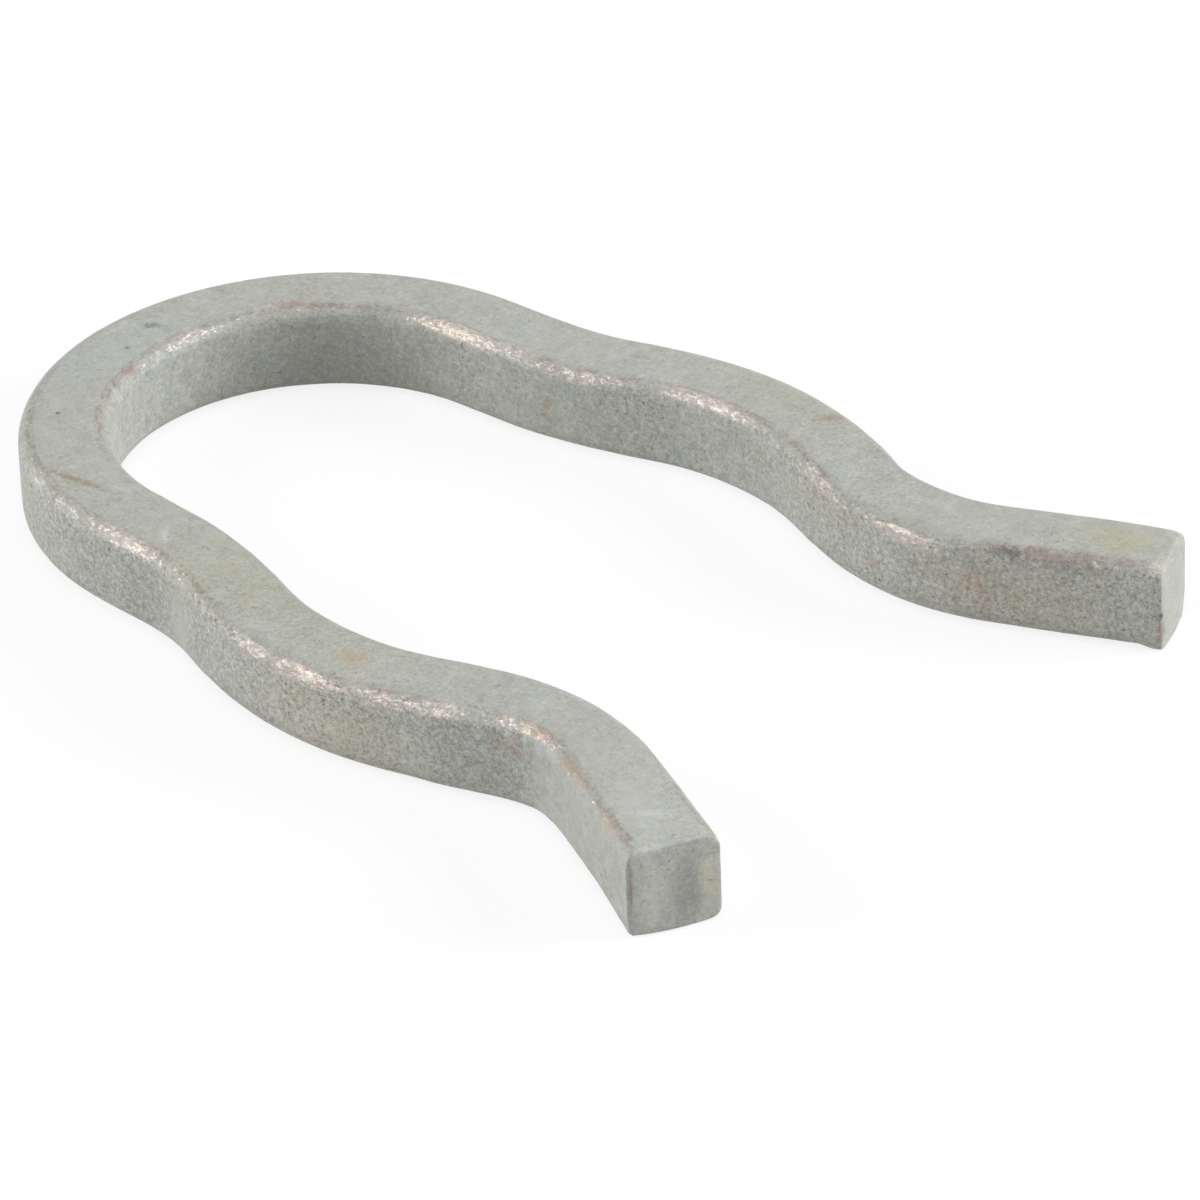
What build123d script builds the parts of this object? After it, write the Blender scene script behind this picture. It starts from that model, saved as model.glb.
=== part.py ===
from build123d import *

import os
from math import copysign

# Horseshoe retaining ring bent cold from square steel bar. All lengths are in millimetres.
# It lies flat: lower face on z = 0, open end towards +X, left leg on the +Y side.
# The origin is on the axis of the shaft that the two seats grip.

# Bar stock
bar_side = 4.76
bar_corner_radius = 0.83

# Bends from the crown of the bow to a tip, with the radius of the pin each is formed round
bow_pin_radius = 10.7
bow_half_angle = 86.5
shoulder_pin_radius = 18.8
shoulder_angle = 14.9
seat_pin_radius = 15.4
seat_angle = 38.2
throat_pin_radius = 9.4
throat_angle = 45.3

# Straight runs that follow the bends
bow_run = 3.2
shoulder_run = 2.7
seat_run = 3.3
left_tip_run = 8.9
right_tip_run = 8.4

# Bevel left round each sheared tip
tip_bevel = 0.2


def leg_outline(side, tip_run, offset):
    """Arcs and lines of one leg from the crown to the tip, at an offset outward of the bar's middle.

    The leg is the left one for side 1 and the right one for -1. A negative angle bends the leg
    inward round a pin inside the ring, and a positive one bends it outward round a pin outside.
    """
    bends = [
        (-bow_half_angle, bow_pin_radius, bow_run),
        (shoulder_angle, shoulder_pin_radius, shoulder_run),
        (-seat_angle, seat_pin_radius, seat_run),
        (throat_angle, throat_pin_radius, tip_run),
    ]
    point = Vector(-offset, 0)
    heading = Vector(0, side)
    edges = []
    for angle, pin_radius, run in bends:
        radius = pin_radius + bar_side / 2 - copysign(1, angle) * offset
        arc = JernArc(point, heading, radius, side * angle)
        heading = arc % 1
        point = arc @ 1 + heading * run
        edges += [arc, Line(arc @ 1, point)]
    return edges


# Plan of the bent bar, closed at the tips
left_inside = leg_outline(1, left_tip_run, -bar_side / 2)
left_outside = leg_outline(1, left_tip_run, bar_side / 2)
right_inside = leg_outline(-1, right_tip_run, -bar_side / 2)
right_outside = leg_outline(-1, right_tip_run, bar_side / 2)
left_tip = Line(left_inside[-1] @ 1, left_outside[-1] @ 1)
right_tip = Line(right_inside[-1] @ 1, right_outside[-1] @ 1)
plan = make_face(left_inside + left_outside + right_inside + right_outside + [left_tip, right_tip])

# Bar of that plan with its long corners rounded
ring = extrude(plan, bar_side, dir=(0, 0, 1))
tip_middles = [tip @ 0.5 + Vector(0, 0, bar_side / 2) for tip in (left_tip, right_tip)]
tip_faces = ShapeList(ring.faces().sort_by_distance(middle)[0] for middle in tip_middles)
long_edges = ring.edges().filter_by(Axis.Z, reverse=True) - tip_faces.edges()
ring = fillet(long_edges, bar_corner_radius)

# Sheared tips with their sharp edge taken off
for middle in tip_middles:
    tip_face = ring.faces().sort_by_distance(middle)[0]
    ring = chamfer(tip_face.edges(), tip_bevel)

# The middle of the seat's bend, the third arc, is level with the widest place between the legs
seat_arc = left_inside[4]
ring = Pos(-seat_arc.arc_center.X, 0, 0) * ring

os.makedirs("parts", exist_ok=True)
export_step(ring, "parts/retaining_ring.step")
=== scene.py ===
from math import cos, pi, radians, sin

import bpy
import numpy as np
from mathutils import Matrix, Vector


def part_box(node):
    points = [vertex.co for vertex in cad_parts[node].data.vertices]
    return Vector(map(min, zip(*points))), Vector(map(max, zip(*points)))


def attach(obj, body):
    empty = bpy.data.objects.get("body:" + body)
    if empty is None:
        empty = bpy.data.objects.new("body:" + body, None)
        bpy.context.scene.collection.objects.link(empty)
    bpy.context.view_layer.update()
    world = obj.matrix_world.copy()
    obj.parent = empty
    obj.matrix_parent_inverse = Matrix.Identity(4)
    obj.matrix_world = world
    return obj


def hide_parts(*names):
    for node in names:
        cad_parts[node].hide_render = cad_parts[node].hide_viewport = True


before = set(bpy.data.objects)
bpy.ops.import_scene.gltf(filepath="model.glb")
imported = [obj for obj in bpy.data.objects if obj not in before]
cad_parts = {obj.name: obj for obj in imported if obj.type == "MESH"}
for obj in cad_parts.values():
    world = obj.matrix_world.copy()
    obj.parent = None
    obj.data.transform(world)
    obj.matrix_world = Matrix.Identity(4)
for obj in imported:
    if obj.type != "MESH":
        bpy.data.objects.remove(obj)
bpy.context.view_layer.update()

# Horseshoe retaining ring, one length of square spring-steel bar, bent cold in one plane, plated.
# The bow is at the back. Each leg swells to a seat for the shaft, pinches in and flares to a cut
# tip. The bar's height is the frame's. The bends are in metres, by the pins they are formed round.
low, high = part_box("retaining_ring")
bar_side = high[2] - low[2]
half_side = bar_side / 2
corner_radius = 0.00083
bow_pin_radius = 0.0107
bow_half_angle = 86.5
bow_run = 0.0032
shoulder_pin_radius = 0.0188
shoulder_angle = 14.9
shoulder_run = 0.0027
seat_pin_radius = 0.0154
seat_angle = 38.2
seat_run = 0.0033
throat_pin_radius = 0.0094
throat_angle = 45.3
left_tip_run = 0.0089
right_tip_run = 0.0084
station_step = 0.00019


def leg_stations(side, tip_run):
    """Points along the middle of one leg from the crown of the bow to the tip, each with its bend.

    A bend is one over the radius, and it is positive where the outside of the ring is stretched.
    """
    bends = [
        (-bow_half_angle, bow_pin_radius, bow_run),
        (shoulder_angle, shoulder_pin_radius, shoulder_run),
        (-seat_angle, seat_pin_radius, seat_run),
        (throat_angle, throat_pin_radius, tip_run),
    ]
    point = Vector((low[0] + half_side, 0, half_side))
    heading = pi / 2
    stations = [(point.copy(), 1 / (bow_pin_radius + half_side))]
    for angle, pin_radius, run in bends:
        radius = pin_radius + half_side
        steps = round(abs(radians(angle)) * radius / station_step)
        turn = radians(angle) / steps
        chord = 2 * radius * sin(abs(turn) / 2)
        for _ in range(steps):
            point += chord * Vector((cos(heading + turn / 2), sin(heading + turn / 2), 0))
            heading += turn
            stations.append((point.copy(), -turn / abs(turn) / radius))
        steps = round(run / station_step)
        for _ in range(steps):
            point += run / steps * Vector((cos(heading), sin(heading), 0))
            stations.append((point.copy(), 0.0))
    return [(Vector((p.x, side * p.y, p.z)), bend) for p, bend in stations]


# The shear leaves each tip faintly domed, with a narrow rolled edge round the cut. The innermost
# ring of points on the cut stands a part of a step from its middle.
tip_dome = 0.00005
tip_roll = 0.00016
tip_face_rings = 10
tip_roll_rings = 4
tip_inner_step = 0.4


def with_tip(stations):
    """Stations of a leg with their bends and shares of the bar's girth, closed over the cut end."""
    end = stations[-1][0]
    inward = (stations[-2][0] - end).normalized()
    closed = [
        (point, bend, 1.0)
        for point, bend in stations
        if (point - end).dot(inward) > tip_dome + tip_roll + station_step / 2
    ]
    for ring in range(tip_roll_rings + 1):
        turn = pi / 2 * ring / tip_roll_rings
        setback = tip_dome + tip_roll * (1 - sin(turn))
        closed.append((end + inward * setback, 0.0, 1 - tip_roll * (1 - cos(turn)) / half_side))
    for ring in range(1, tip_face_rings + 1):
        share = 1 - ring / (tip_face_rings + tip_inner_step)
        girth = share * (1 - tip_roll / half_side)
        closed.append((end + inward * tip_dome * share ** 2, 0.0, girth))
    return closed


left_leg = with_tip(leg_stations(1, left_tip_run))
right_leg = with_tip(leg_stations(-1, right_tip_run))
bar_line = left_leg[::-1] + right_leg[1:]
bar_bends = [bend for _, bend, _ in bar_line]
bar_girths = [girth for _, _, girth in bar_line]

bend_ease = 0.0025
ease_steps = round(bend_ease / station_step)
ease_window = np.full(2 * ease_steps + 1, 1 / (2 * ease_steps + 1))
eased_bends = np.convolve(np.pad(bar_bends, ease_steps), ease_window, "valid")

guide_mesh = bpy.data.meshes.new("bar_line")
guide_edges = [(i, i + 1) for i in range(len(bar_line) - 1)]
guide_mesh.from_pydata([point for point, _, _ in bar_line], guide_edges, [])
for name, values in (("bend", eased_bends), ("girth", bar_girths)):
    guide_mesh.attributes.new(name, "FLOAT", "POINT").data.foreach_set("value", values)
ring = bpy.data.objects.new("retaining_ring_bar", guide_mesh)
bpy.context.collection.objects.link(ring)


def add_sockets(tree, in_out, kind, *names):
    """Gives a node group sockets of one kind."""
    for name in names:
        tree.interface.new_socket(name, in_out=in_out, socket_type=f"NodeSocket{kind}")


def feed(tree, given, socket):
    """Links a socket to another one, or sets it to a plain value."""
    if isinstance(given, bpy.types.NodeSocket):
        tree.links.new(given, socket)
    else:
        socket.default_value = given


def new_node(tree, kind, **settings):
    """A node of that kind, with its settings and, by socket name, what its inputs are fed with."""
    node = tree.nodes.new(kind)
    for name, given in settings.items():
        if name in node.bl_rna.properties:
            setattr(node, name, given)
        else:
            feed(tree, given, node.inputs[name.replace("_", " ")])
    return node


def reckon(tree, operation, *terms):
    """Result of a Math node on numbers or sockets."""
    node = new_node(tree, "ShaderNodeMath", operation=operation)
    for term, socket in zip(terms, node.inputs):
        feed(tree, term, socket)
    return node.outputs["Value"]


# The values of a noise node lie about this one
noise_middle = 0.5


def swept_bar_tree():
    """Geometry Nodes that draw a rounded square bar along a line and leave its surface uneven."""
    tree = bpy.data.node_groups.new("swept square bar", "GeometryNodeTree")
    add_sockets(tree, "INPUT", "Geometry", "Line")
    add_sockets(tree, "INPUT", "Float", "Side", "Corner Radius", "Waviness", "Wave Length")
    add_sockets(tree, "INPUT", "Float", "Grain Height", "Grain Size", "Seed")
    add_sockets(tree, "INPUT", "Int", "Points Round", "Corner Points")
    add_sockets(tree, "INPUT", "Material", "Finish")
    add_sockets(tree, "OUTPUT", "Geometry", "Bar")
    given = tree.nodes.new("NodeGroupInput").outputs

    # Section of the bar, which keeps its own coordinates
    square = new_node(
        tree, "GeometryNodeCurvePrimitiveQuadrilateral", Width=given["Side"], Height=given["Side"]
    )
    rounded = new_node(
        tree, "GeometryNodeFilletCurve", mode="POLY", Curve=square.outputs["Curve"],
        Count=given["Corner Points"], Radius=given["Corner Radius"],
    )
    even = new_node(
        tree, "GeometryNodeResampleCurve", mode="COUNT", Curve=rounded.outputs["Curve"],
        Count=given["Points Round"],
    )
    place = tree.nodes.new("GeometryNodeInputPosition").outputs["Position"]
    section = new_node(
        tree, "GeometryNodeStoreNamedAttribute", data_type="FLOAT_VECTOR", domain="POINT",
        Geometry=even.outputs["Curve"], Name="section", Value=place,
    )

    # Bar along the line, closed at both ends
    line = new_node(tree, "GeometryNodeMeshToCurve", Mesh=given["Line"])
    level = new_node(tree, "GeometryNodeSetCurveNormal", mode="Z_UP", Curve=line.outputs["Curve"])
    girth = new_node(tree, "GeometryNodeInputNamedAttribute", data_type="FLOAT", Name="girth")
    bar = new_node(
        tree, "GeometryNodeCurveToMesh", Curve=level.outputs["Curve"],
        Profile_Curve=section.outputs["Geometry"], Scale=girth.outputs["Attribute"], Fill_Caps=True,
    )

    # Long shallow waves from rolling and bending, and a fine grain from the plating bath
    outward = tree.nodes.new("GeometryNodeInputNormal").outputs["Normal"]
    shaped = bar.outputs["Mesh"]
    for height, size in (("Waviness", "Wave Length"), ("Grain Height", "Grain Size")):
        waves = new_node(
            tree, "ShaderNodeTexNoise", noise_dimensions="4D", Detail=2.0, W=given["Seed"],
            Scale=reckon(tree, "DIVIDE", 1.0, given[size]),
        )
        lift = reckon(tree, "SUBTRACT", waves.outputs["Fac"], noise_middle)
        lift = reckon(tree, "MULTIPLY", lift, given[height])
        push = new_node(tree, "ShaderNodeVectorMath", operation="SCALE", Vector=outward, Scale=lift)
        shaped = new_node(
            tree, "GeometryNodeSetPosition", Geometry=shaped, Offset=push.outputs["Vector"]
        ).outputs["Geometry"]

    smooth = new_node(tree, "GeometryNodeSetShadeSmooth", Geometry=shaped)
    real = new_node(tree, "GeometryNodeRealizeInstances", Geometry=smooth.outputs["Geometry"])
    finished = new_node(
        tree, "GeometryNodeSetMaterial", Geometry=real.outputs["Geometry"], Material=given["Finish"]
    )
    new_node(tree, "NodeGroupOutput", Bar=finished.outputs["Geometry"])
    return tree


def reckon_vectors(tree, operation, first, second):
    """Result of a Vector Math node on two vectors or sockets."""
    node = new_node(tree, "ShaderNodeVectorMath", operation=operation)
    feed(tree, first, node.inputs[0])
    feed(tree, second, node.inputs[1])
    return node.outputs["Vector"]


def turned_level(tree, vector, angle):
    """Vector turned about the upright axis by an angle in radians."""
    node = new_node(
        tree, "ShaderNodeVectorRotate", rotation_type="Z_AXIS", Vector=vector, Angle=angle
    )
    return node.outputs["Vector"]


def product(tree, first, *others):
    """Product of masks, other values or numbers."""
    for other in others:
        first = reckon(tree, "MULTIPLY", first, other)
    return first


def graded(tree, mask, at_none, at_full):
    """Value that runs from one number where a mask is 0 to another where it is 1."""
    return reckon(tree, "MULTIPLY_ADD", mask, at_full - at_none, at_none)


def between(tree, given, start, end):
    """Smooth step from 0 at start to 1 at end."""
    ramp = new_node(
        tree, "ShaderNodeMapRange", interpolation_type="SMOOTHSTEP", Value=given, From_Min=start,
        From_Max=end,
    )
    return ramp.outputs["Result"]


def mottle(tree, where, spacing, seed, detail=2.0, roughness=0.5):
    """Soft random pattern about the middle of a noise, of a spacing in metres."""
    noise = new_node(
        tree, "ShaderNodeTexNoise", noise_dimensions="4D", Vector=where, Scale=1 / spacing, W=seed,
        Detail=detail, Roughness=roughness,
    )
    return noise.outputs["Fac"]


def paint(red, green, blue):
    """Colour written as it shows on a screen, 0 to 255, in the linear values that shaders take."""
    shown = [channel / 255 for channel in (red, green, blue)]
    return [c / 12.92 if c <= 0.04045 else ((c + 0.055) / 1.055) ** 2.4 for c in shown] + [1.0]


def coat(tree, cover, under, over, strength=1.0):
    """Colour under another one that covers it by a share, at some strength."""
    node = new_node(
        tree, "ShaderNodeMix", data_type="RGBA", Factor=product(tree, cover, strength)
    )
    named = {socket.identifier: socket for socket in node.inputs}
    feed(tree, under, named["A_Color"])
    feed(tree, over, named["B_Color"])
    return next(socket for socket in node.outputs if socket.identifier == "Result_Color")


def smudge_group():
    """Shader group for a ragged oval mark at a place on the ring, given as a mask."""
    tree = bpy.data.node_groups.new("smudge", "ShaderNodeTree")
    add_sockets(tree, "INPUT", "Vector", "Where", "Place")
    add_sockets(tree, "INPUT", "Float", "Ragged", "Bearing", "Length", "Width")
    add_sockets(tree, "OUTPUT", "Float", "Mask")
    given = tree.nodes.new("NodeGroupInput").outputs
    raggedness = 3.6
    fade_out = 1.2
    apart = reckon_vectors(tree, "SUBTRACT", given["Where"], given["Place"])
    turned = turned_level(tree, apart, reckon(tree, "MULTIPLY", given["Bearing"], -1.0))
    half_length = reckon(tree, "MULTIPLY", given["Length"], 0.5)
    half_width = reckon(tree, "MULTIPLY", given["Width"], 0.5)
    axes = new_node(tree, "ShaderNodeCombineXYZ", X=half_length, Y=half_width, Z=half_width)
    share = reckon_vectors(tree, "DIVIDE", turned, axes.outputs["Vector"])
    reach = new_node(tree, "ShaderNodeVectorMath", operation="LENGTH", Vector=share)
    ragged = reckon(tree, "SUBTRACT", given["Ragged"], noise_middle)
    reach = reckon(tree, "MULTIPLY_ADD", ragged, raggedness, reach.outputs["Value"])
    new_node(tree, "NodeGroupOutput", Mask=between(tree, reach, fade_out, 0.0))
    return tree


def plated_steel():
    """Dull plating: cloudy grey, coarse on walls, worn to metal on corners, with painted shade and
    highlights.
    """
    material = bpy.data.materials.new("dull_plated_steel")
    material.use_nodes = True
    tree = material.node_tree
    where = tree.nodes.new("ShaderNodeTexCoord").outputs["Object"]
    smudge = smudge_group()
    ragged = mottle(tree, where, spacing=0.0003, seed=41.0, detail=4.0, roughness=0.9)

    def kept(name):
        """Number that the points of the ring keep."""
        return new_node(tree, "ShaderNodeAttribute", attribute_name=name).outputs["Fac"]

    def mark(place, bearing, length, width):
        """Mask of a ragged mark on the ring."""
        return new_node(
            tree, "ShaderNodeGroup", node_tree=smudge, Where=where, Ragged=ragged, Place=place,
            Bearing=radians(bearing), Length=length, Width=width,
        ).outputs["Mask"]

    def with_marks(colour, rows):
        """Colour with ragged marks of other tints over it."""
        for place, bearing, length, width, tint, strength in rows:
            colour = coat(tree, mark(place, bearing, length, width), colour, tint, strength)
        return colour

    edge = kept("edge")
    wear = kept("wear")

    # The walls are coarser than the broad faces, and smoother where a pin or the shear pressed them
    face_coarseness = 0.3
    pressed_coarseness = 0.35
    wall = between(tree, edge, start=-0.0002, end=0.0003)
    pressed = between(tree, kept("stretch"), start=-0.02, end=-0.3)
    relief = product(
        tree, graded(tree, pressed, 1.0, pressed_coarseness),
        graded(tree, wall, face_coarseness, 1.0),
    )

    # Smoother and rougher patches: place, bearing, length, width and the share of coarseness there
    patches = [
        ((-0.0115, 0.0112, 0.0020), 15, 0.0130, 0.0070, 0.45),
        ((-0.0275, -0.0105, 0.0020), -45, 0.0130, 0.0080, 0.4),
        ((-0.0245, 0.0060, 0.0020), 55, 0.0160, 0.0090, 0.75),
        ((-0.0094, -0.0162, 0.0022), -15, 0.0034, 0.0060, 0.4),
        ((-0.0010, -0.0150, bar_side), 0, 0.0260, 0.0070, 2.0),
        ((0.0235, 0.0170, bar_side), 25, 0.0100, 0.0060, 1.8),
        ((0.0080, 0.0150, bar_side), -8, 0.0190, 0.0070, 1.8),
    ]
    coarse = relief
    for place, bearing, length, width, share in patches:
        patch = mark(place, bearing, length, width)
        coarse = product(tree, coarse, graded(tree, patch, 1.0, share))

    # Cloudy grey of the bath, with olive patches and a drift between warm and cool
    blotch = mottle(tree, where, spacing=0.0011, seed=12.0, detail=6.0, roughness=0.95)
    cloudy = new_node(tree, "ShaderNodeMapRange", Value=blotch, From_Min=0.34, From_Max=0.66)
    cloudy = cloudy.outputs["Result"]
    colour = coat(tree, cloudy, paint(162, 165, 159), paint(204, 207, 201))
    olive_areas = mottle(tree, where, spacing=0.007, seed=14.0)
    olive_specks = mottle(tree, where, spacing=0.0014, seed=15.0, detail=4.0, roughness=0.7)
    olive = product(
        tree, between(tree, olive_areas, start=0.45, end=0.62),
        between(tree, olive_specks, start=0.38, end=0.66),
    )
    colour = coat(tree, olive, colour, paint(184, 181, 152), strength=0.25)
    drift = mottle(tree, where, spacing=0.0007, seed=27.0, detail=5.0, roughness=0.9)
    warm = between(tree, drift, start=0.5, end=0.64)
    cool = between(tree, drift, start=0.46, end=0.34)
    colour = coat(tree, warm, colour, paint(192, 180, 156), strength=0.4)
    colour = coat(tree, cool, colour, paint(168, 180, 178), strength=0.4)

    # Broad darker and lighter marks of this ring: place, bearing, length, width, tint and strength
    colour = with_marks(colour, [
        # Painted shade, darker low on the wall inside the bow
        ((-0.0231, 0.0080, 0.0012), 42, 0.0200, 0.0090, paint(120, 121, 114), 0.3),
        # Upper face, and the wall of the far flare
        ((-0.0060, -0.0146, bar_side), 0, 0.0300, 0.0070, paint(176, 172, 138), 0.3),
        ((0.0235, 0.0170, bar_side), 25, 0.0090, 0.0050, paint(180, 174, 136), 0.28),
        ((0.0205, 0.0120, 0.0020), 20, 0.0150, 0.0050, paint(192, 174, 148), 0.5),
        ((-0.0286, -0.0040, bar_side), 75, 0.0160, 0.0060, paint(176, 184, 183), 0.35),
        ((0.0005, 0.0166, bar_side), 0, 0.0160, 0.0050, paint(180, 175, 144), 0.25),
        # Walls at the near seat and at both throats
        ((0.0030, -0.0183, 0.0020), 6, 0.0150, 0.0060, paint(214, 205, 182), 0.5),
        ((0.0125, 0.0108, 0.0022), -7, 0.0050, 0.0045, paint(206, 205, 196), 0.35),
        ((0.0118, -0.0156, 0.0018), 8, 0.0050, 0.0045, paint(132, 126, 114), 0.1),
        # Near cut
        ((0.0260, -0.0174, 0.0017), 64, 0.0021, 0.0050, paint(112, 114, 106), 0.36),
        ((0.0253, -0.0190, 0.0026), 64, 0.0020, 0.0046, paint(214, 214, 205), 0.65),
        ((0.0265, -0.0164, 0.0024), 64, 0.0012, 0.0040, paint(218, 212, 188), 0.65),
        # Wall of the near shoulder
        ((-0.0094, -0.0162, 0.0022), -15, 0.0032, 0.0060, paint(208, 206, 196), 0.34),
        ((-0.0128, -0.0155, 0.0018), -5, 0.0040, 0.0046, paint(132, 132, 124), 0.25),
        # Below the rub of the far throat, on the near flare, and the far cut
        ((0.0090, 0.0118, 0.0034), -18, 0.0070, 0.0026, paint(192, 178, 144), 0.35),
        ((0.0222, -0.0165, bar_side), -25, 0.0090, 0.0060, paint(208, 209, 203), 0.4),
        ((0.0263, 0.0180, 0.0024), 25, 0.0012, 0.0056, paint(168, 169, 164), 0.35),
    ])

    # Dark and frosty grains side by side, and a few black pores
    grain = mottle(tree, where, spacing=0.00025, seed=16.0, detail=4.0, roughness=0.95)
    dark = product(tree, between(tree, grain, start=0.5, end=0.62), coarse)
    colour = coat(tree, dark, colour, paint(128, 128, 119), strength=0.7)
    frost = product(tree, between(tree, grain, start=0.5, end=0.38), coarse)
    colour = coat(tree, frost, colour, paint(228, 229, 221), strength=0.62)
    pits = mottle(tree, where, spacing=0.0003, seed=24.0, detail=2.0, roughness=0.7)
    pit_areas = mottle(tree, where, spacing=0.0021, seed=17.0)
    pores = product(
        tree, between(tree, pits, start=0.6, end=0.68),
        between(tree, pit_areas, start=0.4, end=0.6),
    )
    pore_strength = graded(tree, coarse, 0.35, 0.75)
    colour = coat(tree, pores, colour, paint(112, 111, 102), pore_strength)

    # Hairline scratches over the broad faces, in two directions, each drawn out along its own
    hairlines = [(24, 25.0, paint(142, 138, 126)), (-38, 26.0, paint(214, 216, 209))]
    hair_draw = (0.06, 1.0, 1.0)
    hair_width = 0.022
    broad = reckon(tree, "SUBTRACT", 1.0, wall)
    for bearing, seed, tint in hairlines:
        turned = turned_level(tree, where, radians(bearing))
        drawn = reckon_vectors(tree, "MULTIPLY", turned, hair_draw)
        lines = mottle(tree, drawn, spacing=0.0004, seed=seed, detail=1.0)
        lines = reckon(tree, "ABSOLUTE", reckon(tree, "SUBTRACT", lines, noise_middle))
        hair_areas = mottle(tree, where, spacing=0.0024, seed=seed)
        hair = product(
            tree, between(tree, lines, hair_width, 0.0),
            between(tree, hair_areas, start=0.56, end=0.7), broad,
        )
        colour = coat(tree, hair, colour, tint, strength=0.4)

    # Rubs on the upper corners of this ring, also where a highlight is painted: place, bearing,
    # length and strength
    rub_height = bar_side - corner_radius / 4
    rub_width = 0.0032
    rubs_and_highlights = [
        # Near leg, from the bow to the tip
        ((-0.0225, -0.0139), -28, 0.0026, 0.6),
        ((-0.0185, -0.0150), -8, 0.0036, 0.6),
        ((-0.0143, -0.0155), -5, 0.0068, 1.3),
        ((-0.0104, -0.0159), -12, 0.0036, 0.35),
        ((-0.0024, -0.0182), -8, 0.0050, 0.75),
        ((0.0011, -0.0183), 1, 0.0048, 1.35),
        ((0.0057, -0.0175), 15, 0.0056, 0.8),
        ((0.0092, -0.0163), 15, 0.0036, 0.8),
        ((0.0131, -0.0156), 0, 0.0056, 1.0),
        ((0.0180, -0.0168), -22, 0.0024, 0.4),
        # Far leg, from the tip to the bow
        ((0.0268, 0.0159), 25, 0.0014, 0.45),
        ((0.0144, 0.0109), 4, 0.0058, 1.25),
        ((0.0078, 0.0120), -17, 0.0072, 0.4),
        ((-0.0016, 0.0138), -3, 0.0084, 1.0),
        ((-0.0087, 0.0120), 15, 0.0080, 0.55),
        ((-0.0130, 0.0110), 8, 0.0040, 0.7),
        ((-0.0161, 0.0108), 6, 0.0076, 1.1),
        ((-0.0266, 0.0013), 85, 0.0042, 0.4),
    ]
    rubbed_and_highlit = 0.0
    for spot, bearing, length, strength in rubs_and_highlights:
        rub_and_highlight = product(tree, mark((*spot, rub_height), bearing, length, rub_width), strength)
        rubbed_and_highlit = reckon(tree, "MAXIMUM", rubbed_and_highlit, rub_and_highlight)

    # Wear fades downwards and round the back, and its flecks are drawn out along the bar
    fleck_draw = 0.45
    height = new_node(tree, "ShaderNodeSeparateXYZ", Vector=where).outputs["Z"]
    lower = between(tree, height, bar_side, 0.0)
    facing = graded(tree, between(tree, kept("front"), start=-0.45, end=-0.05), 0.3, 1.0)
    exposed = product(tree, graded(tree, lower, 1.0, 0.2), facing)
    drawn_along = reckon(tree, "MULTIPLY", kept("along"), fleck_draw)
    streaks = new_node(tree, "ShaderNodeCombineXYZ", X=drawn_along, Y=edge).outputs["Vector"]

    # Brown specks at one limit of the rubbed band
    limit = reckon(tree, "ADD", wear, graded(tree, lower, 0.00032, -0.00023))
    limit = between(tree, reckon(tree, "ABSOLUTE", limit), start=0.00036, end=0.00008)
    specks = mottle(tree, streaks, spacing=0.00028, seed=22.0, detail=4.0, roughness=0.9)
    brown = product(
        tree, limit, between(tree, specks, start=0.44, end=0.6), facing,
        graded(tree, lower, 0.55, 0.25),
    )
    colour = coat(tree, brown, colour, paint(140, 112, 97))

    # Over the middle of the band a rub polishes the plating, which is painted pale as a highlight,
    # and breaks it to metal in flecks
    band_limit = 0.00042
    band_core = 0.00012
    rub_widening = 0.00014
    fleck_drift = 0.25
    rub_flecks = 0.14
    off_middle = reckon(tree, "ABSOLUTE", wear)
    band = reckon(tree, "MULTIPLY_ADD", rubbed_and_highlit, -rub_widening, off_middle)
    band = between(tree, band, band_limit, band_core)
    # Painted highlight: a pale band along the middle of each rubbed corner, over real polish
    polish_and_highlight = product(tree, band, reckon(tree, "MINIMUM", rubbed_and_highlit, 1.0))
    colour = coat(tree, polish_and_highlight, colour, paint(222, 218, 212), strength=0.5)
    flecks = mottle(tree, streaks, spacing=0.00017, seed=19.0, detail=3.0, roughness=0.8)
    fleck_areas = mottle(tree, where, spacing=0.003, seed=20.0)
    flecks = reckon(tree, "MULTIPLY_ADD", fleck_areas, fleck_drift, flecks)
    flecks = reckon(tree, "MULTIPLY_ADD", rubbed_and_highlit, rub_flecks, flecks)
    worn = product(tree, band, between(tree, flecks, start=0.67, end=0.8), exposed)
    copper = mottle(tree, streaks, spacing=0.0002, seed=21.0, detail=3.0, roughness=0.8)
    copper = between(tree, copper, start=0.46, end=0.62)
    metal = coat(tree, copper, paint(220, 212, 202), paint(172, 142, 124))
    colour = coat(tree, worn, colour, metal)
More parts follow.
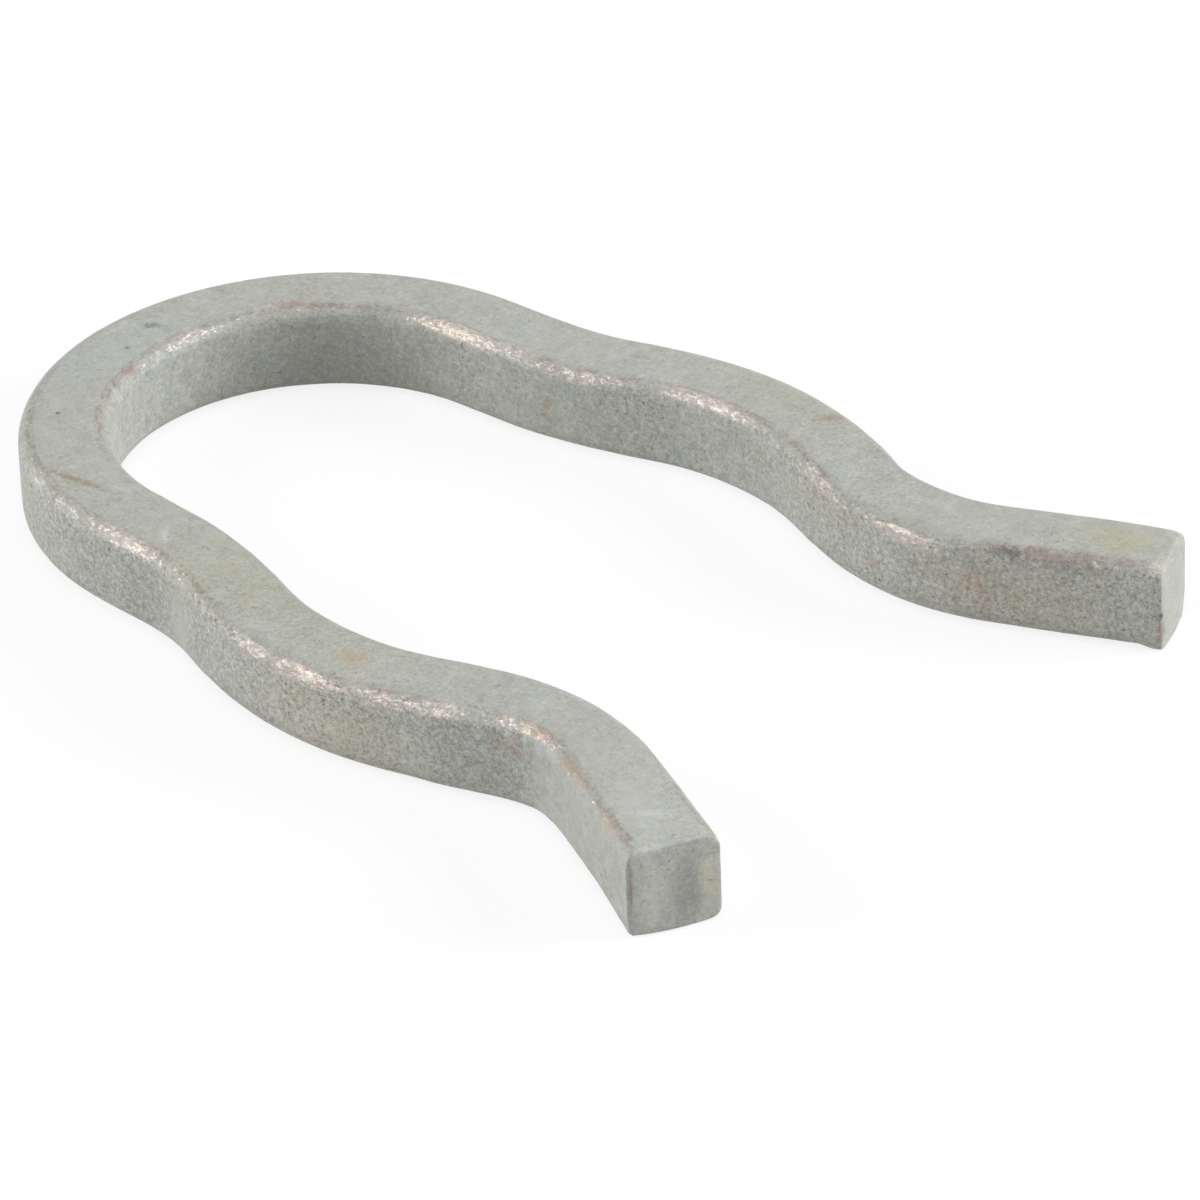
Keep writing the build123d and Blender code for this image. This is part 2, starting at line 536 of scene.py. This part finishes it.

    # Rust, nicks, scuffs and painted highlights of this ring: place, bearing, length, width, tint
    # and strength
    colour = with_marks(colour, [
        # Near cut
        ((0.0248, -0.0200, 0.0028), 64, 0.0003, 0.0032, paint(146, 120, 94), 0.7),
        # Painted highlight along the rolled upper edge of the cut
        ((0.0252, -0.0190, 0.0046), 64, 0.0026, 0.0007, paint(216, 218, 212), 0.6),
        ((0.0264, -0.0168, 0.0045), 64, 0.0022, 0.0004, paint(120, 120, 112), 0.5),
        ((0.0260, -0.0156, rub_height), -25, 0.0020, 0.0007, paint(168, 130, 104), 0.5),
        # Near leg, from the seat to the flare
        ((0.0025, -0.0159, bar_side), 20, 0.0020, 0.0013, paint(190, 152, 106), 0.42),
        ((0.0128, -0.0155, 0.0035), 0, 0.0032, 0.0014, paint(178, 152, 132), 0.4),
        ((0.0142, -0.0150, bar_side), -3, 0.0026, 0.0010, paint(168, 134, 108), 0.45),
        ((0.0175, -0.0163, bar_side), -20, 0.0044, 0.0011, paint(178, 144, 114), 0.55),
        ((0.0220, -0.0186, rub_height), -25, 0.0032, 0.0010, paint(196, 168, 146), 0.45),
        ((0.0233, -0.0168, bar_side), 44, 0.0024, 0.0009, paint(212, 215, 210), 0.7),
        # Bow and near shoulder
        ((-0.0206, -0.0129, bar_side), 8, 0.0062, 0.0006, paint(146, 116, 86), 0.6),
        ((-0.0250, 0.0073, bar_side), 45, 0.0034, 0.0009, paint(164, 130, 108), 0.55),
        ((-0.0266, -0.0032, bar_side), 95, 0.0016, 0.0010, paint(160, 122, 104), 0.5),
        ((-0.0261, -0.0088, bar_side), 0, 0.0004, 0.0004, paint(84, 84, 78), 0.9),
        ((-0.0291, 0.0008, bar_side), 40, 0.0012, 0.0007, paint(108, 108, 102), 0.7),
        ((-0.0283, -0.0017, bar_side), 0, 0.0004, 0.0004, paint(84, 84, 78), 0.9),
        ((-0.0130, -0.0138, bar_side), -46, 0.0022, 0.0005, paint(212, 215, 208), 0.7),
        # Far leg
        ((0.0045, 0.0166, bar_side), 30, 0.0018, 0.0010, paint(158, 126, 104), 0.6),
        ((0.0222, 0.0138, rub_height), 25, 0.0080, 0.0017, paint(150, 128, 116), 0.5),
        ((0.0200, 0.0128, rub_height), 25, 0.0022, 0.0009, paint(92, 84, 78), 0.5),
        ((-0.0105, 0.0106, 0.0020), 0, 0.0009, 0.0022, paint(186, 142, 110), 0.6),
        ((0.0185, 0.0117, 0.0024), 20, 0.0022, 0.0014, paint(186, 144, 112), 0.32),
        ((0.0125, 0.0108, 0.0018), -5, 0.0012, 0.0009, paint(186, 140, 100), 0.4),
        # Far tip
        ((0.0239, 0.0173, bar_side), 25, 0.0032, 0.0022, paint(204, 196, 142), 0.28),
        # Painted highlight on the upper corner of the far tip
        ((0.0266, 0.0164, rub_height), 25, 0.0013, 0.0007, paint(226, 222, 214), 0.7),
        ((0.0272, 0.0160, 0.0011), 31, 0.0005, 0.0017, paint(150, 120, 102), 0.7),
        ((0.0272, 0.0161, 0.0021), 31, 0.0004, 0.0005, paint(66, 62, 54), 0.9),
    ])

    # Sheen, and fine relief that is stronger along the rubbed band
    metal_gloss = 0.2
    band_relief = 0.8
    sheen = graded(tree, blotch, 0.42, 0.72)
    roughness = reckon(tree, "MULTIPLY_ADD", worn, -metal_gloss, sheen)
    middle = between(tree, off_middle, band_limit, band_core)
    relief = reckon(tree, "MULTIPLY_ADD", middle, band_relief, relief)
    relief = product(tree, grain, relief)
    bump = new_node(tree, "ShaderNodeBump", Height=relief, Distance=0.0001, Strength=0.6)
    shader = tree.nodes["Principled BSDF"]
    shader.inputs["Specular IOR Level"].default_value = 0.35
    feed(tree, colour, shader.inputs["Base Color"])
    feed(tree, graded(tree, worn, 0.1, 0.7), shader.inputs["Metallic"])
    feed(tree, roughness, shader.inputs["Roughness"])
    feed(tree, bump.outputs["Normal"], shader.inputs["Normal"])
    return material


bar_sizes = {
    "Side": bar_side,
    "Corner Radius": corner_radius,
    "Waviness": 0.00005,
    "Wave Length": 0.004,
    "Grain Height": 0.00002,
    "Grain Size": 0.0007,
    "Points Round": 96,
    "Corner Points": 16,
    "Seed": 3.0,
    "Finish": plated_steel(),
}
sweep = ring.modifiers.new("swept bar", "NODES")
sweep.node_group = swept_bar_tree()
for item in sweep.node_group.interface.items_tree:
    if item.in_out == "INPUT" and item.name in bar_sizes:
        sweep[item.identifier] = bar_sizes[item.name]
bpy.context.view_layer.update()
evaluated_ring = ring.evaluated_get(bpy.context.evaluated_depsgraph_get())
ring_mesh = bpy.data.meshes.new_from_object(evaluated_ring)
ring.modifiers.remove(sweep)
ring.data = ring_mesh


def on_points(name, width):
    """Values that the points of the ring hold, one row for each point."""
    values = np.empty(len(ring_mesh.vertices) * width)
    if name == "position":
        ring_mesh.vertices.foreach_get("co", values)
    else:
        kind = "vector" if width == 3 else "value"
        ring_mesh.attributes[name].data.foreach_get(kind, values)
    return values.reshape(-1, width)


def keep_on_points(name, values):
    """Keeps one number for each point of the ring, for its finish."""
    ring_mesh.attributes.new(name, "FLOAT", "POINT").data.foreach_set("value", values)


place = on_points("position", 3)
section = on_points("section", 3)
girth = on_points("girth", 1)[:, 0]
bend = on_points("bend", 1)[:, 0]
out = section[:, 0]
up = -section[:, 1]
share_out = (out / half_side).clip(-1, 1)
points_round = len(place) // len(bar_line)

# Distance over the surface from the middle of the nearest corner, below 0 on a broad face and above
# 0 on a wall. The cut starts part of the way round its rolled edge, and counts as wall.
cut_start = 0.6
flat = half_side - corner_radius
past_flat_out = np.abs(out) - flat
past_flat_up = np.abs(up) - flat
slope = np.arctan2(past_flat_out.clip(0), past_flat_up.clip(0))
edge = corner_radius * (slope - pi / 4) + (-past_flat_up).clip(0) - (-past_flat_out).clip(0)
on_cut = girth < 1 - cut_start * tip_roll / half_side
edge[on_cut] = corner_radius * pi / 4 + (1 - girth[on_cut]) * half_side
keep_on_points("edge", edge)

# Each bend stretches one wall and squeezes the other. From its touch on, the pin of the throat also
# pressed the outside wall smooth, and the shear did the same to the cut.
sharp_ease_steps = 5
pin_touch = 0.0130
pin_touch_rise = 0.0015
pin_squeeze = 0.3
cut_squeeze = 1.0
sharp_ease = np.full(sharp_ease_steps, 1 / sharp_ease_steps)
stretch = np.repeat(np.convolve(bar_bends, sharp_ease, "same"), points_round) * out
past_seat = (place[:, 0] > 0) & (out > 0)
pin_share = ((place[past_seat, 0] - pin_touch) / pin_touch_rise).clip(0, 1)
stretch[past_seat] = stretch[past_seat].clip(0) - pin_squeeze * pin_share
stretch[on_cut] = -cut_squeeze
keep_on_points("stretch", stretch)

# The press draws the bar in at each bend of the legs
bow_fade = 0.003
draw_per_strain = 0.0006
rings = place.reshape(len(bar_line), -1, 3)
across_bar = out.reshape(len(bar_line), -1)
stations = np.arange(len(bar_line))
outward = rings[stations, across_bar.argmax(1)] - rings[stations, across_bar.argmin(1)]
outward /= np.linalg.norm(outward, axis=1)[:, None]
outward = np.repeat(outward, points_round, axis=0)
bow_end = low[0] + bar_side + bow_pin_radius + bow_run
past_bow = ((place[:, 0] - bow_end) / bow_fade).clip(0, 1)
draw_in = draw_per_strain * np.abs(bend) * half_side * past_bow
place = place - (draw_in * share_out)[:, None] * outward

# The rubbed band lies a little over the upper face on the bow. On the legs it keeps to the middle
# of a corner, further over a stretched wall. Corners that face the front are rubbed most.
rubbed_side = np.array((0.70, -0.71, 0))
bow_shift = 0.0001
stretched_shift = 0.0028
squeezed_shift = 0.0015
strain = bend * out
leg_shift = bow_shift + stretched_shift * strain.clip(0) + squeezed_shift * strain.clip(None, 0)
keep_on_points("wear", edge + bow_shift - leg_shift * past_bow)
keep_on_points("front", share_out * (outward @ rubbed_side))
bar_steps = [(b[0] - a[0]).length for a, b in zip(bar_line, bar_line[1:])]
keep_on_points("along", np.repeat(np.cumsum([0] + bar_steps), points_round))


def press_wall(place, spot, depth, reach, bluntness):
    """Places of the points with the outside wall pressed in, or raised for a negative depth."""
    far = np.linalg.norm(place[:, :2] - np.array(spot), axis=1)
    mark = (1 - (far / reach).clip(0, 1) ** bluntness) ** 2
    return place - (depth * mark * share_out.clip(0, 1))[:, None] * outward


# Marks that the pins left: place, depth, reach and bluntness
pin_marks = [
    ((-0.0120, -0.0157), 0.00010, 0.0045, 2),
    ((0.0140, -0.0156), 0.00020, 0.0040, 1),
    ((0.0100, -0.0160), -0.00026, 0.0040, 2),
    ((0.0163, -0.0160), -0.00008, 0.0030, 2),
    ((0.0106, 0.0159), 0.00018, 0.0035, 1),
]
for spot, depth, reach, bluntness in pin_marks:
    place = press_wall(place, spot, depth, reach, bluntness)

straight_up = np.array((0, 0, 1))


def tip_frame(stations):
    """Middle of a leg's cut end, with the directions into the bar and out of the ring."""
    end = np.array(stations[-1][0])
    inward = np.array(stations[-2][0]) - end
    inward /= np.linalg.norm(inward)
    outward = np.array((inward[1], -inward[0], 0)) * np.sign(end[1])
    return end, inward, outward


def drag_corner(place, tip, side, level, radius, reach, rise):
    """Places of the points with one long corner of the bar brought to another radius at a tip.

    The corner is outside for side 1 and inside for -1, upper for level 1 and lower for -1. The
    change starts at that reach behind the cut and is whole after the rise.
    """
    least = 1e-9
    end, inward, outward = tip
    back = (place - end) @ inward
    size = max(radius, corner_radius)
    wide = side * ((place - end) @ outward) - half_side + size
    tall = level * (place - end)[:, 2] - half_side + size
    corner = (back < reach) & (wide > 0) & (tall > 0) & (wide < bar_side)
    far = np.hypot(wide, tall).clip(least)
    across = np.stack((wide, tall), -1) / far[:, None]
    flat = size / across.max(1).clip(least)
    surface = []
    for rounding in (corner_radius, radius):
        centre = size - rounding
        toward = across.sum(1) * centre
        root = (toward ** 2 - 2 * centre ** 2 + rounding ** 2).clip(0)
        on_flat = flat * across.min(1) <= centre
        surface.append(np.where(on_flat, flat, toward + np.sqrt(root)))
    share = ((reach - back) / rise).clip(0, 1)
    change = np.where(corner, share * (surface[1] / surface[0] - 1), 0)[:, None]
    return place + change * (side * wide[:, None] * outward + level * tall[:, None] * straight_up)


def beside_tip(place, tip, reach):
    """How far points lie out of the ring and up from the middle of a cut, in half sides of the bar.

    The third value falls from 1 on the cut to 0 at that reach behind it, and is 0 on the other leg.
    """
    end, inward, outward = tip
    beside = place - end
    wide = beside @ outward / half_side
    closeness = (1 - beside @ inward / reach).clip(0, 1)
    return wide, beside[:, 2] / half_side, np.where(np.abs(wide) < 2, closeness, 0)


def draw_lip(place, tip, length, rise):
    """Places of the points with the lower edge of a cut drawn out along the bar."""
    wide, tall, closeness = beside_tip(place, tip, rise)
    lower = (1 - (tall + 1) * half_side / rise).clip(0, 1) ** 2
    inward = tip[1]
    return place - (length * closeness * lower * (1 - wide.clip(-1, 1) ** 2))[:, None] * inward


def roll_tip(place, tip, depth, reach):
    """Places of the points with the upper edge of a tip rolled over by the shear."""
    roll_level = 0.3
    _, tall, closeness = beside_tip(place, tip, reach)
    upper = ((tall - roll_level) / (1 - roll_level)).clip(0, 1)
    return place - (depth * closeness ** 2 * upper)[:, None] * straight_up


def bulge_wall(place, tip, depth, reach):
    """Places of the points with the outside wall pushed out at half height behind a tip."""
    wide, tall, closeness = beside_tip(place, tip, reach)
    middle = 1 - tall.clip(-1, 1) ** 2
    outward = tip[2]
    return place + (depth * closeness ** 2 * middle * wide.clip(0, 1))[:, None] * outward


# Each cut drags one lower corner square, draws out a lip, rolls the upper edge and leaves the other
# corners slack. A sheared corner has its tip, side, level, radius, reach and rise.
left_tip = tip_frame(leg_stations(1, left_tip_run))
right_tip = tip_frame(leg_stations(-1, right_tip_run))
sheared_corners = [
    (left_tip, -1, -1, 0.0004, 0.0013, 0.0007),
    (left_tip, 1, -1, 0.0012, 0.0040, 0.0040),
    (left_tip, 1, 1, 0.0011, 0.0030, 0.0030),
    (right_tip, 1, -1, 0.00005, 0.0050, 0.0050),
    (right_tip, 1, 1, 0.0005, 0.0025, 0.0025),
    (right_tip, -1, -1, 0.0005, 0.0030, 0.0030),
]
left_lip = 0.0002
right_lip = 0.00028
lip_rise = 0.0014
tip_roll_depth = 0.0002
tip_roll_reach = 0.0009
right_bulge = 0.00015
right_bulge_reach = 0.0012
for tip, side, level, radius, reach, rise in sheared_corners:
    place = drag_corner(place, tip, side, level, radius, reach, rise)
place = draw_lip(place, left_tip, left_lip, lip_rise)
place = draw_lip(place, right_tip, right_lip, lip_rise)
place = roll_tip(place, left_tip, tip_roll_depth, tip_roll_reach)
place = roll_tip(place, right_tip, tip_roll_depth, tip_roll_reach)
place = bulge_wall(place, right_tip, right_bulge, right_bulge_reach)
ring_mesh.vertices.foreach_set("co", place.ravel())
ring_mesh.update()
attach(ring, "root")
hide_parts("retaining_ring")

# Sheet of pale paper that the ring lies on, wide enough to fill any view of it.
# It shows white, keeps a faint shadow and throws light up at the walls of the ring.
floor_reach = 4.0
floor_gap = 0.00005
paper_bounce = 0.8
paper_shade = 0.22
paper_glow = 0.82
floor_corners = [(-1, -1), (1, -1), (1, 1), (-1, 1)]
floor_points = [(x * floor_reach, y * floor_reach, 0) for x, y in floor_corners]
floor_mesh = bpy.data.meshes.new("floor")
floor_mesh.from_pydata(floor_points, [], [(0, 1, 2, 3)])
floor = bpy.data.objects.new("floor", floor_mesh)
floor.location.z = low[2] - floor_gap
bpy.context.collection.objects.link(floor)


def seen(tree):
    """Share of rays that show a surface directly, in a mirror or through glass."""
    rays = tree.nodes.new("ShaderNodeLightPath").outputs
    shown = reckon(tree, "MAXIMUM", rays["Is Camera Ray"], rays["Is Glossy Ray"])
    return reckon(tree, "MAXIMUM", shown, rays["Is Transmission Ray"])


paper = bpy.data.materials.new("white_paper")
paper.use_nodes = True
sheet = paper.node_tree
sheet.nodes.clear()
bounce = new_node(sheet, "ShaderNodeBsdfDiffuse", Color=[paper_bounce] * 3 + [1])
shadow = new_node(sheet, "ShaderNodeBsdfDiffuse", Color=[paper_shade] * 3 + [1])
glow = new_node(sheet, "ShaderNodeEmission", Strength=paper_glow)
white = sheet.nodes.new("ShaderNodeAddShader")
feed(sheet, shadow.outputs["BSDF"], white.inputs[0])
feed(sheet, glow.outputs["Emission"], white.inputs[1])
choice = new_node(sheet, "ShaderNodeMixShader", Fac=seen(sheet))
feed(sheet, bounce.outputs["BSDF"], choice.inputs[1])
feed(sheet, white.outputs["Shader"], choice.inputs[2])
new_node(sheet, "ShaderNodeOutputMaterial", Surface=choice.outputs["Shader"])
floor_mesh.materials.append(paper)

# Studio round the ring, with white walls that throw back little light.
# Two square soft lamps stand at the sides of the view and one hangs overhead, aimed at the ring.
studio_fill = 0.26
lamp_distance = 0.6
lamp_size = 0.3
side_lamp_elevation = 22
view_azimuth = 44.314
world = bpy.data.worlds.new("studio")
world.use_nodes = True
studio = world.node_tree
backdrop = studio.nodes["Background"]
backdrop.inputs["Color"].default_value = (1, 1, 1, 1)
feed(studio, reckon(studio, "MAXIMUM", seen(studio), studio_fill), backdrop.inputs["Strength"])
bpy.context.scene.world = world


def direction(azimuth, elevation):
    """Unit vector from the ring towards that side, with azimuth 0 in front, on the -Y side."""
    a = radians(azimuth)
    e = radians(elevation)
    return Vector((sin(a) * cos(e), -cos(a) * cos(e), sin(e)))


def lamp(name, azimuth, elevation, watts):
    """Square soft lamp aimed at the ring."""
    data = bpy.data.lights.new(name, "AREA")
    data.shape = "SQUARE"
    data.size = lamp_size
    data.energy = watts
    lamp_object = bpy.data.objects.new(name, data)
    towards = direction(azimuth, elevation)
    lamp_object.location = towards * lamp_distance
    lamp_object.rotation_euler = towards.to_track_quat("Z", "Y").to_euler()
    bpy.context.collection.objects.link(lamp_object)


lamp("left lamp", view_azimuth - 93, side_lamp_elevation, watts=1.73)
lamp("right lamp", view_azimuth + 94, side_lamp_elevation, watts=2.68)
lamp("overhead lamp", view_azimuth, elevation=85, watts=0.74)

# Camera at the viewing angle of the photograph, on a long lens, as for a small part on a table.
# Its stand leans a little about the line of sight.
view_elevation = 31.111
view_roll = -1.924
view_distance = 0.4135
view_lens = 248.23
view_sensor = 36
view_target = Vector((0.00518, -0.00133, 0.00238))
camera = bpy.data.cameras.new("camera")
camera.sensor_width = view_sensor
camera.lens = view_lens
camera_object = bpy.data.objects.new("camera", camera)
back = direction(view_azimuth, view_elevation)
right = Vector((cos(radians(view_azimuth)), sin(radians(view_azimuth)), 0))
above = back.cross(right)
turn = radians(view_roll)
right_turned = cos(turn) * right + sin(turn) * above
above_turned = -sin(turn) * right + cos(turn) * above
stand = Matrix((right_turned, above_turned, back)).transposed().to_4x4()
stand.translation = view_target + back * view_distance
camera_object.matrix_world = stand
bpy.context.collection.objects.link(camera_object)
bpy.context.scene.camera = camera_object
bpy.context.scene.view_settings.view_transform = "Standard"
